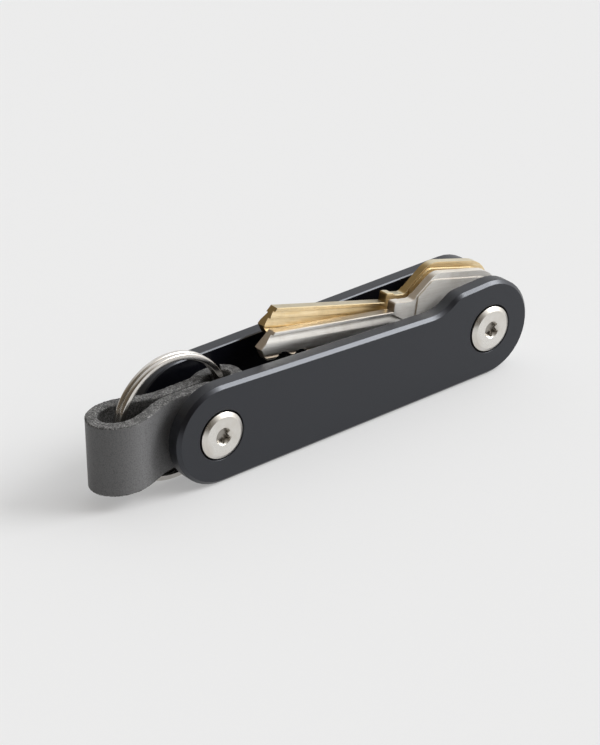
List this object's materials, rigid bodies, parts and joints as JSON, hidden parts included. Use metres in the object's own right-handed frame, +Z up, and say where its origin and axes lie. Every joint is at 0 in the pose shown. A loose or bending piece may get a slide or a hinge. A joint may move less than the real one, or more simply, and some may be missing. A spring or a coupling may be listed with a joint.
{
  "type": "key organizer",
  "caption": "Slim key organizer: stadium-shaped plates on screw posts hold folding keys between them, with a folded leather strap and a split ring at one end.",
  "frame": {"origin": "middle of the footprint box, on the surface that the plates' long lower edges stand on", "axes": "+X runs along the plates from the strap's end to the keys' post, +Y from the cut-away plate to the full plate, +Z up"},
  "size_m": [0.0966, 0.0168, 0.0254],
  "materials": {
    "plates": "matte black anodised, with bright cut edges",
    "post_hardware": "satin nickel plate",
    "washers": "plain turned",
    "nickel_key": "nickel plated brass, worn satin",
    "brass_key": "bare brass, worn satin",
    "strap": "dark grey grained face with raw cut edges",
    "ring": "polished spring steel"
  },
  "bodies": {
    "organizer": {"front_plate": "plates", "rear_plate": "plates", "left_screw": "post_hardware", "right_screw": "post_hardware", "left_sleeve": "post_hardware", "right_sleeve": "post_hardware", "left_washer_1": "washers", "left_washer_2": "washers", "left_washer_3": "washers", "left_washer_4": "washers", "right_washer_1": "washers", "right_washer_2": "washers", "right_washer_3": "washers", "right_washer_4": "washers", "right_washer_5": "washers"},
    "nickel_key_body": {"nickel_key": "nickel_key"},
    "brass_key_body": {"brass_key": "brass_key"},
    "strap": {"leather_strap": "strap"},
    "ring": {"split_ring": "ring"}
  },
  "joints": [
    {"name": "nickel_key_pivot", "type": "hinge", "parent": "organizer", "child": "nickel_key_body", "pos_m": [0.03865, -0.00159, 0.0097], "axis": [0, 1, 0], "range_deg": [-10, 170]},
    {"name": "brass_key_pivot", "type": "hinge", "parent": "organizer", "child": "brass_key_body", "pos_m": [0.03865, 0.00159, 0.0097], "axis": [0, 1, 0], "range_deg": [-15, 165]},
    {"name": "strap_pivot", "type": "hinge", "parent": "organizer", "child": "strap", "pos_m": [-0.02535, 0, 0.0097], "axis": [0, 1, 0], "range_deg": [-100, 60]},
    {"name": "ring_turn", "type": "hinge", "parent": "strap", "child": "ring", "pos_m": [-0.03075, 0, 0.0123], "axis": [0, 1, 0], "continuous": true}
  ]
}
